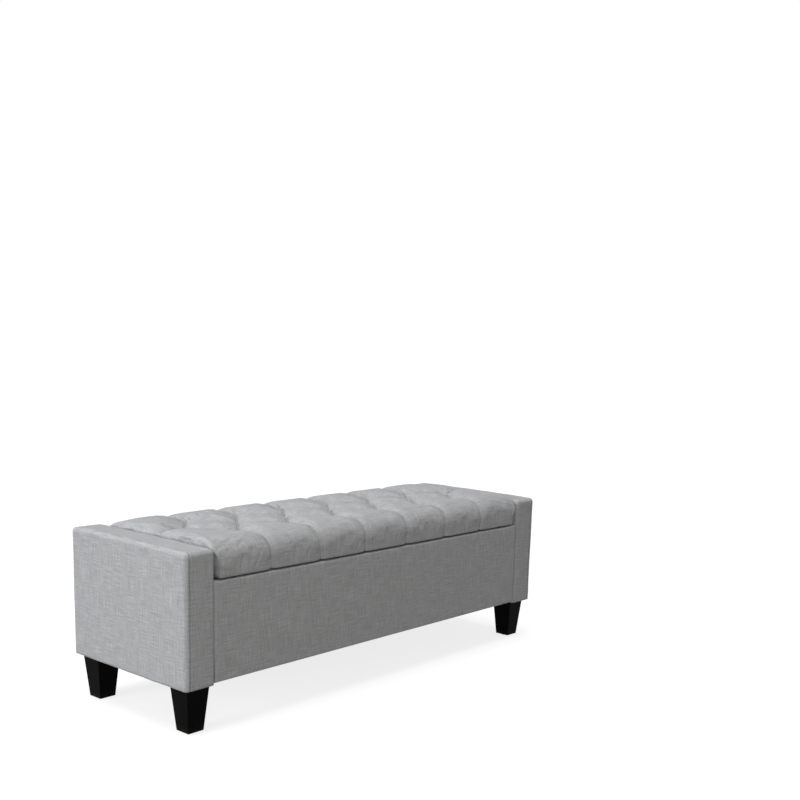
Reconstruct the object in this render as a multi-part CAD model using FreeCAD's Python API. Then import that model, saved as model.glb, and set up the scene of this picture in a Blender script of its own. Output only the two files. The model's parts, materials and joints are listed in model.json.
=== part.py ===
"""Upholstered storage bench: two boxed end panels on tapered legs, a front and a back panel between them,
and a diamond-tufted lid that turns up on three butt hinges and two folding stays.

Millimetres. +X to the right, -Y is the front, +Z up.
The origin is on the floor under the middle of the bench.
"""

import FreeCAD, Part
import os

V = FreeCAD.Vector
Z_AXIS = V(0, 0, 1)

# ---------------------------------------------------------------- driving dimensions
LENGTH = 1300.0
BODY_DEPTH = 430.0
KNUCKLE_R, PIN_R = 2.5, 1.2  # hinge knuckles and pins
END_WIDTH = 83.0  # each end panel, along X
END_TOP, END_BOTTOM = 418.0, 110.0
PANEL_TOP, PANEL_BOTTOM = 345.0, 113.0  # front and back panels
LID_GAP = 5.0  # between panel tops and lid
LID_TOP = 432.0
SIDE_GAP = 4.5  # between lid and each end panel

FABRIC, PADDING, LINING = 1.5, 6.0, 0.8
BOARD = 12.0
CLEAR = 0.1  # radial clearance of a screw in its hole
PIVOT_ROOM = 0.1  # radial clearance of a pivot
SIDE_ROOM = 0.3  # beside everything that turns

# ---------------------------------------------------------------- derived places
HALF = LENGTH / 2
INNER_X = HALF - END_WIDTH  # inner face of each end panel
FRONT_Y = -BODY_DEPTH / 2 - KNUCKLE_R
BACK_Y = BODY_DEPTH / 2 - KNUCKLE_R
MID_Y = (FRONT_Y + BACK_Y) / 2
PANEL_SET_BACK = 2.0  # front and back panels sit this far inside the end panels' edges
LID_BOTTOM = PANEL_TOP + LID_GAP
LID_X = INNER_X - SIDE_GAP
LID_FRONT = FRONT_Y + 1.0
HINGE_Y, HINGE_Z = BACK_Y + KNUCKLE_R, PANEL_TOP + LID_GAP / 2

solids = {}  # node name -> shape


def box(x0, x1, y0, y1, z0, z1):
    """A box between two corners, in any order."""
    low = V(min(x0, x1), min(y0, y1), min(z0, z1))
    return Part.makeBox(abs(x1 - x0), abs(y1 - y0), abs(z1 - z0), low)


def rod(radius, start, end):
    """A cylinder from one point to another."""
    along = end - start
    return Part.makeCylinder(radius, along.Length, start, along)


def rounded(shape, radius, pick):
    """shape with the edges that pick(edge box) chooses rounded."""
    edges = [e for e in shape.Edges if pick(e.BoundBox)]
    return shape.makeFillet(radius, edges)


def group(shapes):
    """Separate solids that share one node."""
    return Part.makeCompound(shapes)


# ---------------------------------------------------------------- countersunk screws
SCREW_R, HEAD_R, HEAD_DEEP = 1.5, 2.9, 1.2


def screw(head, into, length, room=0.0):
    """A countersunk screw whose flat head is flush at head and which points along into.

    With room it is the hole for that screw, wider all round by room and a little longer.
    """
    cone = Part.makeCone(HEAD_R + room, SCREW_R + room, HEAD_DEEP, head, into)
    shank = rod(SCREW_R + room, head + into * (HEAD_DEEP - 0.1), head + into * (length + room))
    return cone.fuse(shank)


def drilled(shape, holes):
    return shape.cut(holes) if holes else shape


# ---------------------------------------------------------------- lid hardware places
HINGE_X = {"left": -420.0, "centre": 0.0, "right": 420.0}
HINGE_LENGTH, LEAF, LEAF_REACH = 60.0, 1.2, 27.0
HINGE_SCREW_X, HINGE_SCREW_Y = (-22.0, 0.0, 22.0), HINGE_Y - 13.5

ARM_LONG = V(0, -150.0, -9.5)  # hinge axis to the lid pivot: the lower arm is as long
ARM_SHORT = V(0, -71.0, -110.0)  # hinge axis to the box pivot: the upper arm is as long
HINGE_AXIS = V(0, HINGE_Y, HINGE_Z)
BOX_PIVOT = HINGE_AXIS + ARM_SHORT
LID_PIVOT = HINGE_AXIS + ARM_LONG
ELBOW = BOX_PIVOT + ARM_LONG
ARM_HALF, ARM_THICK, PIVOT_R = 8.0, 2.0, 2.5
STOP_YZ = (BOX_PIVOT.y + 11.2, BOX_PIVOT.z + 16.0)  # the lower arm comes to rest on this peg, lid open
WALL = INNER_X - LINING - 0.1  # room side of the lining on an end panel
BRACKET_X = (WALL - 2.1, WALL - 0.1)
STUD_HEAD, STUD_HEAD_R = 0.8, PIVOT_R + 2.0
LAYER_GAP = STUD_HEAD + 2 * SIDE_ROOM  # a stud's flat head turns between two layers
LOWER_ARM_X = (BRACKET_X[0] - LAYER_GAP - ARM_THICK, BRACKET_X[0] - LAYER_GAP)
UPPER_ARM_X = (LOWER_ARM_X[0] - LAYER_GAP - ARM_THICK, LOWER_ARM_X[0] - LAYER_GAP)
LID_TAB_X = (UPPER_ARM_X[0] - LAYER_GAP - 2.0, UPPER_ARM_X[0] - LAYER_GAP)
BRACKET_SCREW_Z = (-19.0, 19.0)
LID_SCREW_Y = (-14.0, 14.0)
LID_SCREW_X = LID_TAB_X[0] - 14.0

# ---------------------------------------------------------------- corner angles
ANGLE_Z = (180.0, 272.0)
ANGLE_TALL, ANGLE_REACH, ANGLE_THICK = 44.0, 30.0, 2.0
ANGLE_BOLT_R, ANGLE_HEAD_R = 3.0, 5.5

# ---------------------------------------------------------------- layers of the walls
PANEL_FRONT, PANEL_BACK = FRONT_Y + PANEL_SET_BACK, BACK_Y - PANEL_SET_BACK
FRONT_BOARD_Y = (PANEL_FRONT + FABRIC + PADDING, PANEL_FRONT + FABRIC + PADDING + 18.0)
BACK_BOARD_Y = (PANEL_BACK - FABRIC - 15.0, PANEL_BACK - FABRIC)
FLOOR_Z = (PANEL_BOTTOM + 20.0, PANEL_BOTTOM + 26.0)
LINING_TOP = 304.0
PANEL_X = INNER_X - 0.3
LEG_X, LEG_Y = 603.5, 169.0
LEG_BOLT_R, INSERT_R, INSERT_LONG = 4.0, 5.5, 25.0

LID_BOARD_Z = (LID_BOTTOM + FABRIC, LID_BOTTOM + FABRIC + BOARD)
LID_BOARD_ENDS, LID_BOARD_FRONT, LID_BOARD_BACK = 14.0, 13.0, 5.5  # board edges to lid faces


def sides():
    return (("left", -1), ("right", 1))


def corners():
    """(name, x sign, y sign) of the four corners."""
    return [
        (f"{front}_{side}", sx, sy)
        for front, sy in (("front", -1), ("back", 1))
        for side, sx in sides()
    ]


# ================================================================ screws and bolts, and the holes they need
def hinge_screws(into, z, room=0.0):
    return [
        screw(V(hx + dx, HINGE_SCREW_Y, z), into, 13.0, room)
        for hx in HINGE_X.values()
        for dx in HINGE_SCREW_X
    ]


def stay_box_screws(sx, room=0.0):
    return [
        screw(V(sx * BRACKET_X[0], BOX_PIVOT.y, BOX_PIVOT.z + dz), V(sx, 0, 0), 13.0, room)
        for dz in BRACKET_SCREW_Z
    ]


def stay_lid_screws(sx, room=0.0):
    plate_bottom = LID_BOTTOM - LINING - 2.0
    return [
        screw(V(sx * LID_SCREW_X, LID_PIVOT.y + dy, plate_bottom), Z_AXIS, 12.5, room)
        for dy in LID_SCREW_Y
    ]


def angle_corner(sx, sy):
    """Where the two lined walls meet in a corner of the storage space."""
    wall_y = FRONT_BOARD_Y[1] + LINING if sy < 0 else BACK_BOARD_Y[0] - LINING
    return sx * WALL, wall_y


def angle_screws(sx, sy, room=0.0):
    _, wall_y = angle_corner(sx, sy)
    head_y = wall_y - sy * (ANGLE_THICK + 0.1)
    x = sx * (WALL - ANGLE_REACH * 0.6)
    return [
        screw(V(x, head_y, z + dz), V(0, sy, 0), 14.0, room)
        for z in ANGLE_Z
        for dz in (-14.0, 14.0)
    ]


def angle_bolts(sx, sy, room=0.0):
    _, wall_y = angle_corner(sx, sy)
    y = wall_y - sy * ANGLE_REACH * 0.6
    inner = WALL - ANGLE_THICK - 0.1
    made = []
    for z in ANGLE_Z:
        start, end = V(sx * (inner - 0.2), y, z), V(sx * (INNER_X + BOARD + room), y, z)
        shank = rod(ANGLE_BOLT_R + room, start, end)
        if room:
            made.append(shank)
        else:
            head = rod(ANGLE_HEAD_R, V(sx * (inner - 3.0), y, z), V(sx * inner, y, z))
            made.append(head.fuse(shank))
    return made


def leg_bolt(sx, sy, room=0.0):
    y = MID_Y + sy * LEG_Y
    return rod(LEG_BOLT_R + room, V(sx * LEG_X, y, 70.0 - room), V(sx * LEG_X, y, 134.0))


def leg_insert(sx, sy, room=0.0):
    """The threaded insert above a leg; with room it is the hole for it."""
    y = MID_Y + sy * LEG_Y
    low = END_BOTTOM + FABRIC
    return rod(INSERT_R + room, V(sx * LEG_X, y, low), V(sx * LEG_X, y, low + INSERT_LONG))


# ================================================================ end panels
def end_panels():
    for side, sx in sides():
        outer = box(sx * HALF, sx * INNER_X, FRONT_Y, BACK_Y, END_BOTTOM, END_TOP)
        outer = rounded(outer, 7.0, lambda b: b.ZMax > END_BOTTOM + 1)
        x_out, x_in = HALF - FABRIC, INNER_X + FABRIC
        y_front, y_back = FRONT_Y + FABRIC, BACK_Y - FABRIC
        inner = box(sx * x_out, sx * x_in, y_front, y_back, END_BOTTOM + FABRIC, END_TOP - FABRIC)
        inner = rounded(inner, 5.5, lambda b: b.ZMax > END_BOTTOM + FABRIC + 1)
        turn_in = 30.0  # fabric folded under and stapled
        mouth = box(
            sx * (HALF - turn_in), sx * (INNER_X + turn_in), FRONT_Y + turn_in, BACK_Y - turn_in,
            END_BOTTOM - 1, END_BOTTOM + FABRIC + 1,
        )
        wall_holes = stay_box_screws(sx, CLEAR)
        for sy in (-1, 1):
            wall_holes += angle_bolts(sx, sy, CLEAR)
        solids[f"{side}_end_cover"] = drilled(outer.cut([inner, mouth]), wall_holes)

        wood_x = (x_out - PADDING, x_in)
        wood_y = (y_front + PADDING, y_back - PADDING)
        wood_z = (END_BOTTOM + FABRIC, END_TOP - FABRIC - PADDING)
        wood = box(sx * wood_x[0], sx * wood_x[1], *wood_y, *wood_z)
        solids[f"{side}_end_foam"] = inner.cut(wood)

        outer_board = box(sx * wood_x[0], sx * (wood_x[0] - 9.0), *wood_y, *wood_z)
        inner_board = box(sx * (wood_x[1] + BOARD), sx * wood_x[1], *wood_y, *wood_z)
        solids[f"{side}_end_outer_board"] = outer_board
        solids[f"{side}_end_inner_board"] = drilled(inner_board, wall_holes)

        rail_x = (sx * (wood_x[0] - 9.0), sx * (wood_x[1] + BOARD))
        rail = 40.0
        low = box(*rail_x, *wood_y, wood_z[0], wood_z[0] + rail)
        inserts = [leg_insert(sx, sy, CLEAR) for sy in (-1, 1)]
        high = box(*rail_x, *wood_y, wood_z[1] - rail, wood_z[1])
        posts = [
            box(*rail_x, y, y + rail, wood_z[0] + rail, wood_z[1] - rail)
            for y in (wood_y[0], wood_y[1] - rail)
        ]
        solids[f"{side}_end_rails"] = group([low.cut(inserts), high] + posts)


# ================================================================ front and back panels
def panel_cover(face_y, board_inner_y, toward_room):
    """Fabric wrapped over a panel's face, top and bottom, and returned a little way on its room side."""
    room_y = board_inner_y + toward_room * FABRIC
    outer = box(-PANEL_X, PANEL_X, face_y, room_y, PANEL_BOTTOM, PANEL_TOP)
    outer = rounded(outer, 4.0, lambda b: b.XLength > LENGTH / 2 and abs(b.Center.y - face_y) < 0.1)
    inner = box(
        -PANEL_X - 1, PANEL_X + 1, face_y + toward_room * FABRIC, board_inner_y,
        PANEL_BOTTOM + FABRIC, PANEL_TOP - FABRIC,
    )
    inner = rounded(inner, 4.0 - FABRIC, lambda b: b.XLength > LENGTH / 2 and abs(b.Center.y - face_y) < 2)
    window = box(
        -PANEL_X - 1, PANEL_X + 1, board_inner_y - 0.5 * toward_room, room_y + toward_room,
        FLOOR_Z[0] + 3.0, LINING_TOP + 1.0,
    )
    return outer.cut([inner, window])


def panels():
    angle_holes = {
        sy: [h for _, sx in sides() for h in angle_screws(sx, sy, CLEAR)] for sy in (-1, 1)
    }
    board_z = (PANEL_BOTTOM + FABRIC, PANEL_TOP - FABRIC)
    solids["front_cover"] = panel_cover(PANEL_FRONT, FRONT_BOARD_Y[1], 1)
    foam = box(-PANEL_X, PANEL_X, PANEL_FRONT + FABRIC, FRONT_BOARD_Y[0], *board_z)
    foam = rounded(foam, 2.5, lambda b: b.XLength > LENGTH / 2 and b.Center.y < FRONT_BOARD_Y[0] - 1)
    solids["front_foam"] = foam
    front_board = box(-PANEL_X, PANEL_X, *FRONT_BOARD_Y, *board_z)
    solids["front_board"] = drilled(front_board, angle_holes[-1])

    hinge_holes = hinge_screws(V(0, 0, -1), PANEL_TOP + LEAF, CLEAR)
    cover = panel_cover(PANEL_BACK, BACK_BOARD_Y[0], -1)
    solids["back_cover"] = drilled(cover, hinge_holes)
    back_board = box(-PANEL_X, PANEL_X, *BACK_BOARD_Y, *board_z)
    outer_edge = BACK_BOARD_Y[1] - 1
    back_board = rounded(back_board, 2.5, lambda b: b.XLength > LENGTH / 2 and b.Center.y > outer_edge)
    solids["back_board"] = drilled(back_board, angle_holes[1] + hinge_holes)

    bumper_y = (FRONT_BOARD_Y[0] + FRONT_BOARD_Y[1]) / 2
    bumpers = [
        rod(6.0, V(x, bumper_y, PANEL_TOP), V(x, bumper_y, LID_BOTTOM - LINING - 0.2))
        for x in (-500.0, -170.0, 170.0, 500.0)
    ]
    solids["lid_bumpers"] = group(bumpers)


# ================================================================ storage floor and linings
def storage_floor():
    room_front, room_back = FRONT_BOARD_Y[1] + FABRIC, BACK_BOARD_Y[0] - FABRIC
    rail_z = (PANEL_BOTTOM, FLOOR_Z[0])
    rail = 25.0
    solids["floor_board"] = box(-PANEL_X, PANEL_X, room_front, room_back, *FLOOR_Z)
    solids["front_floor_rail"] = box(-PANEL_X, PANEL_X, room_front, room_front + rail, *rail_z)
    solids["back_floor_rail"] = box(-PANEL_X, PANEL_X, room_back - rail, room_back, *rail_z)
    end_rail = PANEL_X - rail / 2
    solids["floor_cross_rails"] = group(
        [
            box(x - rail / 2, x + rail / 2, room_front + rail, room_back - rail, *rail_z)
            for x in (-end_rail, -190.0, 190.0, end_rail)
        ]
    )
    solids["base_dust_cover"] = box(
        -PANEL_X, PANEL_X, room_front, room_back, PANEL_BOTTOM - LINING, PANEL_BOTTOM
    )

    x, y_front, y_back = INNER_X - 0.1, FRONT_BOARD_Y[1], BACK_BOARD_Y[0]
    tray = box(-x, x, y_front, y_back, FLOOR_Z[1], LINING_TOP)
    x_in, y_span = x - LINING, (y_front + LINING, y_back - LINING)
    hollow = box(-x_in, x_in, *y_span, FLOOR_Z[1] + LINING, LINING_TOP + 1)
    holes = []
    for _, sx in sides():
        holes += stay_box_screws(sx, CLEAR)
        for sy in (-1, 1):
            holes += angle_bolts(sx, sy, CLEAR) + angle_screws(sx, sy, CLEAR)
    solids["storage_lining"] = tray.cut([hollow] + holes)


# ================================================================ legs
def square(cx, cy, z, half):
    """The outline of a level square round (cx, cy)."""
    turns = ((-1, -1), (1, -1), (1, 1), (-1, 1), (-1, -1))
    return Part.makePolygon([V(cx + a * half, cy + b * half, z) for a, b in turns])


def legs():
    top_half, foot_half, felt = 31.5, 21.75, 2.5
    felt_pads, bolts, inserts = [], [], []
    for name, sx, sy in corners():
        cx, cy = sx * LEG_X, MID_Y + sy * LEG_Y

        leg = Part.makeLoft([square(cx, cy, felt, foot_half), square(cx, cy, END_BOTTOM, top_half)], True)
        leg = leg.makeFillet(1.5, [e for e in leg.Edges if e.BoundBox.ZLength > 50])
        solids[f"{name}_leg"] = leg.cut(leg_bolt(sx, sy, CLEAR))
        felt_pads.append(rod(16.0, V(cx, cy, 0), V(cx, cy, felt)))
        bolts.append(leg_bolt(sx, sy))
        inserts.append(leg_insert(sx, sy).cut(leg_bolt(sx, sy, CLEAR)))
    solids["leg_glides"] = group(felt_pads)
    solids["leg_bolts"] = group(bolts)
    solids["leg_inserts"] = group(inserts)


# ================================================================ corner angles
def corner_angles():
    angles, bolts, screws = [], [], []
    for _, sx, sy in corners():
        wall_x, wall_y = angle_corner(sx, sy)
        cx, cy = wall_x - sx * 0.1, wall_y - sy * 0.1  # a hair off the lining
        holes = angle_bolts(sx, sy, CLEAR) + angle_screws(sx, sy, CLEAR)
        for z in ANGLE_Z:
            z_span = (z - ANGLE_TALL / 2, z + ANGLE_TALL / 2)
            along_y = box(cx, cx - sx * ANGLE_THICK, cy, cy - sy * ANGLE_REACH, *z_span)
            along_x = box(cx, cx - sx * ANGLE_REACH, cy, cy - sy * ANGLE_THICK, *z_span)
            angles.append(along_y.fuse(along_x).removeSplitter().cut(holes))
        bolts += angle_bolts(sx, sy)
        screws += angle_screws(sx, sy)
    for _, sx in sides():
        screws += stay_box_screws(sx)
    solids["corner_angles"] = group(angles)
    solids["angle_bolts"] = group(bolts)
    solids["bracket_screws"] = group(screws)


# ================================================================ hinges
def hinge_leaf(hx, plate_z, knuckles, bore_r, holes):
    """One leaf: its plate, and the knuckles (from, to) along X that wrap the pin."""
    half = HINGE_LENGTH / 2
    plate = box(hx - half, hx + half, HINGE_Y - LEAF_REACH, HINGE_Y, *plate_z)
    curls = [
        rod(KNUCKLE_R, V(hx + start, HINGE_Y, HINGE_Z), V(hx + end, HINGE_Y, HINGE_Z))
        for start, end in knuckles
    ]
    # the plate is notched where the other leaf's knuckles turn
    edges = [-half] + [place for knuckle in knuckles for place in knuckle] + [half]
    notches = [
        box(hx + start, hx + end, HINGE_Y - KNUCKLE_R - 1, HINGE_Y + 1, plate_z[0] - 1, plate_z[1] + 1)
        for start, end in zip(edges[::2], edges[1::2])
        if end - start > 1
    ]
    leaf = plate.cut(notches).fuse(curls).removeSplitter()
    bore = rod(bore_r, V(hx - half - 1, HINGE_Y, HINGE_Z), V(hx + half + 1, HINGE_Y, HINGE_Z))
    return leaf.cut([bore] + holes)


def hinges():
    half, knuckle, slack = HINGE_LENGTH / 2, HINGE_LENGTH / 5, 0.15
    spans = [(-half + i * knuckle + slack, -half + (i + 1) * knuckle - slack) for i in range(5)]
    box_holes = hinge_screws(V(0, 0, -1), PANEL_TOP + LEAF, CLEAR)
    lid_holes = hinge_screws(Z_AXIS, LID_BOTTOM - LEAF, CLEAR)
    pins = []
    for side, hx in HINGE_X.items():
        low, high = (PANEL_TOP, PANEL_TOP + LEAF), (LID_BOTTOM - LEAF, LID_BOTTOM)
        solids[f"{side}_hinge_box_leaf"] = hinge_leaf(hx, low, spans[0::2], PIN_R, box_holes)
        solids[f"{side}_hinge_lid_leaf"] = hinge_leaf(hx, high, spans[1::2], PIN_R + PIVOT_ROOM, lid_holes)
        pins.append(rod(PIN_R, V(hx - half, HINGE_Y, HINGE_Z), V(hx + half, HINGE_Y, HINGE_Z)))
    solids["hinge_pins"] = group(pins)
    solids["hinge_box_screws"] = group(hinge_screws(V(0, 0, -1), PANEL_TOP + LEAF))
    solids["hinge_lid_screws"] = group(hinge_screws(Z_AXIS, LID_BOTTOM - LEAF))


# ================================================================ folding stays
def flat_arm(x_span, start, end):
    """A flat bar with round ends and a hole at each pivot, in a plane across X."""
    along = end - start
    across = V(0, -along.z, along.y).normalize() * ARM_HALF
    corners_yz = [start + across, end + across, end - across, start - across, start + across]
    x0, x1 = sorted(x_span)
    face = Part.Face(Part.makePolygon([V(x0, p.y, p.z) for p in corners_yz]))
    bar = face.extrude(V(x1 - x0, 0, 0))
    ends = [rod(ARM_HALF, V(x0, p.y, p.z), V(x1, p.y, p.z)) for p in (start, end)]
    holes = [rod(PIVOT_R + PIVOT_ROOM, V(x0 - 1, p.y, p.z), V(x1 + 1, p.y, p.z)) for p in (start, end)]
    return bar.fuse(ends).removeSplitter().cut(holes)


def stud(point, sx, x_from, x_head):
    """A pivot stud across X from one layer of the stay, with a flat head at its far end."""
    inward = STUD_HEAD if x_from > x_head else -STUD_HEAD
    shank = rod(PIVOT_R, V(sx * x_from, point.y, point.z), V(sx * x_head, point.y, point.z))
    head = rod(STUD_HEAD_R, V(sx * (x_head + inward), point.y, point.z), V(sx * x_head, point.y, point.z))
    return shank.fuse(head)


def stays():
    lid_screws = []
    for side, sx in sides():
        plate = box(
            sx * BRACKET_X[0], sx * BRACKET_X[1], BOX_PIVOT.y - 16, BOX_PIVOT.y + 18,
            BOX_PIVOT.z - 27, BOX_PIVOT.z + 27,
        )
        plate = rounded(plate, 5.0, lambda b: b.XLength > 1.9 and b.YLength < 0.1 and b.ZLength < 0.1)
        box_stud = stud(BOX_PIVOT, sx, BRACKET_X[0] + 0.5, LOWER_ARM_X[0] - SIDE_ROOM - STUD_HEAD)
        stop_x = (sx * (BRACKET_X[0] + 0.5), sx * LOWER_ARM_X[0])
        stop = rod(2.5, V(stop_x[0], *STOP_YZ), V(stop_x[1], *STOP_YZ))
        bracket = plate.fuse([box_stud, stop]).removeSplitter()
        solids[f"{side}_stay_box_bracket"] = bracket.cut(stay_box_screws(sx, CLEAR))

        lower_span = (sx * LOWER_ARM_X[0], sx * LOWER_ARM_X[1])
        upper_span = (sx * UPPER_ARM_X[0], sx * UPPER_ARM_X[1])
        solids[f"{side}_stay_lower_arm"] = flat_arm(lower_span, BOX_PIVOT, ELBOW)
        solids[f"{side}_stay_upper_arm"] = flat_arm(upper_span, ELBOW, LID_PIVOT)
        rivet = stud(ELBOW, sx, LOWER_ARM_X[1], UPPER_ARM_X[0] - SIDE_ROOM - STUD_HEAD)
        cap_x = LOWER_ARM_X[1] + STUD_HEAD
        cap = rod(STUD_HEAD_R, V(sx * LOWER_ARM_X[1], ELBOW.y, ELBOW.z), V(sx * cap_x, ELBOW.y, ELBOW.z))
        solids[f"{side}_stay_elbow_rivet"] = rivet.fuse(cap).removeSplitter()

        top = LID_BOTTOM - LINING
        flange_y, tab_y = (LID_PIVOT.y - 24, LID_PIVOT.y + 24), (LID_PIVOT.y - 10, LID_PIVOT.y + 10)
        flange = box(sx * LID_TAB_X[1], sx * (LID_TAB_X[0] - 24.0), *flange_y, top - 2.0, top)
        tab = box(sx * LID_TAB_X[0], sx * LID_TAB_X[1], *tab_y, LID_PIVOT.z - 8, top - 1.0)
        pin = stud(LID_PIVOT, sx, LID_TAB_X[1] - 0.5, UPPER_ARM_X[1] + SIDE_ROOM + STUD_HEAD)
        bracket = flange.fuse([tab, pin]).removeSplitter()
        solids[f"{side}_stay_lid_bracket"] = bracket.cut(stay_lid_screws(sx, CLEAR))
        lid_screws += stay_lid_screws(sx)
    solids["stay_lid_screws"] = group(lid_screws)


# ================================================================ lid
TUFT_PITCH_X = 2 * LID_X / 7  # seven puffs along the lid
TUFT_ROW = 100.0  # between button rows
PIT_Z, PIT_R, RIM_R = 405.0, 11.0, 42.0  # each tuft is a cone down to its button
BUTTON_R, TIE_R = 10.0, 0.8


def tuft_places():
    """Button centres: six in the front and back rows, seven in the middle row, half a puff across."""
    places = []
    for row in (-1, 0, 1):
        count = 7 if row == 0 else 6
        for i in range(count):
            places.append((TUFT_PITCH_X * (i - (count - 1) / 2), MID_Y + row * TUFT_ROW))
    return places


def lid_shell(inset, top_radius, corner_radius):
    """The lid's outer shape with its tuft dimples, taken in all round by inset."""
    x = LID_X - inset
    front, back = LID_FRONT + inset, BACK_Y - inset
    low, high = LID_BOTTOM + inset, LID_TOP - inset
    shell = box(-x, x, front, back, low, high)
    shell = rounded(shell, corner_radius, lambda b: b.ZLength > 10)
    shell = rounded(shell, top_radius, lambda b: b.ZMin > high - 0.1)
    cuts = []
    for px, py in tuft_places():
        pit, rim, above = V(px, py, PIT_Z - inset), V(px, py, high), V(px, py, LID_TOP + 5)
        cuts.append(Part.makeCone(PIT_R + inset, RIM_R + inset, LID_TOP - PIT_Z, pit, Z_AXIS))
        cuts.append(rod(RIM_R + inset, rim, above))
    return shell.cut(cuts)


def lid():
    outer = lid_shell(0.0, 20.0, 8.0)
    inner = lid_shell(FABRIC, 18.5, 6.5)
    turn_in = 40.0
    mouth = box(
        -LID_X + turn_in, LID_X - turn_in, LID_FRONT + turn_in, BACK_Y - turn_in,
        LID_BOTTOM - 1, LID_BOTTOM + FABRIC + 1,
    )
    hinge_holes = hinge_screws(Z_AXIS, LID_BOTTOM - LEAF, CLEAR)
    stay_holes = [h for _, sx in sides() for h in stay_lid_screws(sx, CLEAR)]
    washer_z = (LID_BOTTOM + 0.3, LID_BOTTOM + FABRIC - 0.1)
    tie_holes = [rod(TIE_R + 0.2, V(px, py, LID_BOTTOM), V(px, py, PIT_Z + 1)) for px, py in tuft_places()]
    solids["lid_cover"] = outer.cut([inner, mouth] + hinge_holes + stay_holes + tie_holes)

    board_x = LID_X - LID_BOARD_ENDS
    board = box(-board_x, board_x, LID_FRONT + LID_BOARD_FRONT, BACK_Y - LID_BOARD_BACK, *LID_BOARD_Z)
    solids["lid_foam"] = inner.cut([board] + tie_holes)
    solids["lid_board"] = board.cut(hinge_holes + stay_holes + tie_holes)

    lining_y = (LID_FRONT + 12, HINGE_Y - LEAF_REACH - 6)
    lining = box(-LID_X + 10, LID_X - 10, *lining_y, LID_BOTTOM - LINING, LID_BOTTOM)
    solids["lid_lining"] = lining.cut(stay_holes)

    buttons, ties, washers = [], [], []
    for px, py in tuft_places():
        dome = rod(BUTTON_R, V(px, py, PIT_Z + 0.2), V(px, py, PIT_Z + 5.2))
        buttons.append(rounded(dome, 2.2, lambda b: b.ZMin > PIT_Z + 5.0))
        ties.append(rod(TIE_R, V(px, py, washer_z[1]), V(px, py, PIT_Z + 0.2)))
        washers.append(rod(7.0, V(px, py, washer_z[0]), V(px, py, washer_z[1])))
    solids["lid_buttons"] = group(buttons)
    solids["button_ties"] = group(ties)
    solids["tie_washers"] = group(washers)


def main():
    end_panels()
    panels()
    storage_floor()
    legs()
    corner_angles()
    hinges()
    stays()
    lid()
    os.makedirs("parts", exist_ok=True)
    for name, shape in solids.items():
        shape.exportStep(f"parts/{name}.step")
    print(len(solids), "nodes")


main()
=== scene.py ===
"""The looks of an upholstered storage bench.

Linen-look covers with tufting, seams and stitches go over the CAD frame.
Metres. +X to the right, -Y is the front, +Z up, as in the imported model.
"""

import json
import math

import bpy
import numpy as np
from mathutils import Matrix, Vector


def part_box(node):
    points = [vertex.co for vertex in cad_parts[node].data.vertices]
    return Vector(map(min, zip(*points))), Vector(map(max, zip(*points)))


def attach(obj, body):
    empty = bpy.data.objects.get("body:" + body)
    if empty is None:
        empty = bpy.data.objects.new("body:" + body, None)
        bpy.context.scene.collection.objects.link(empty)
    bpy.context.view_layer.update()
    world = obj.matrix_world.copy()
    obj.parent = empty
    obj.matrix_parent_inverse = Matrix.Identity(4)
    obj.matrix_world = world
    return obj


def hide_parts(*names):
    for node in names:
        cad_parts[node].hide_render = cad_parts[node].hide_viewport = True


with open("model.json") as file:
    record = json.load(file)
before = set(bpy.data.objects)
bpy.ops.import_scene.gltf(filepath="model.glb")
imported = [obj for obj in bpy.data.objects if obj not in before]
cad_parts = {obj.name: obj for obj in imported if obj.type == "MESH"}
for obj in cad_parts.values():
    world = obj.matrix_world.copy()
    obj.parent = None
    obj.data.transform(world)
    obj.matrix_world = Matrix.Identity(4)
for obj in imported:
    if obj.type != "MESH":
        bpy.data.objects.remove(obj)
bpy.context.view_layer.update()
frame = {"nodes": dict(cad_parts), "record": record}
nodes = frame["nodes"]

MM = 0.001

# ---------------------------------------------------------------- places, from the frame
LID_LOW, LID_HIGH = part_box("lid_cover")
LEFT_LOW, LEFT_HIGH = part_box("left_end_cover")
RIGHT_LOW, RIGHT_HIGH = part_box("right_end_cover")
FRONT_LOW, FRONT_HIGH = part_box("front_cover")
BACK_LOW, BACK_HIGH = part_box("back_cover")
BUTTON_LOW, BUTTON_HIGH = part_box("lid_buttons")

LID_X = LID_HIGH.x
LID_MID_Y = (BUTTON_LOW.y + BUTTON_HIGH.y) / 2
ROW = 100 * MM  # between button rows
HALF_PUFF = LID_X / 7  # seven puffs along the lid, each two of these wide
PIT_DEPTH = LID_HIGH.z - BUTTON_LOW.z


# ================================================================ meshes
def mesh_object(name, points, faces, uvs=None, smooth=True):
    """A mesh object. uvs holds one (u, v) per face corner, in metres of cloth."""
    mesh = bpy.data.meshes.new(name)
    mesh.from_pydata([tuple(p) for p in points], [], [tuple(f) for f in faces])
    if uvs is not None:
        layer = mesh.uv_layers.new(name="cloth")
        layer.data.foreach_set("uv", np.asarray(uvs, np.float32).ravel())
    mesh.validate()
    if smooth:
        mesh.polygons.foreach_set("use_smooth", [True] * len(mesh.polygons))
    mesh.update()
    obj = bpy.data.objects.new(name, mesh)
    bpy.context.scene.collection.objects.link(obj)
    return obj


def points_of(obj):
    co = np.zeros(len(obj.data.vertices) * 3, np.float32)
    obj.data.vertices.foreach_get("co", co)
    return co.reshape(-1, 3).astype(float)


def set_points(obj, points):
    obj.data.vertices.foreach_set("co", np.asarray(points, np.float32).ravel())
    obj.data.update()


def ease(t):
    t = np.clip(t, 0, 1)
    return t * t * (3 - 2 * t)


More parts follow.
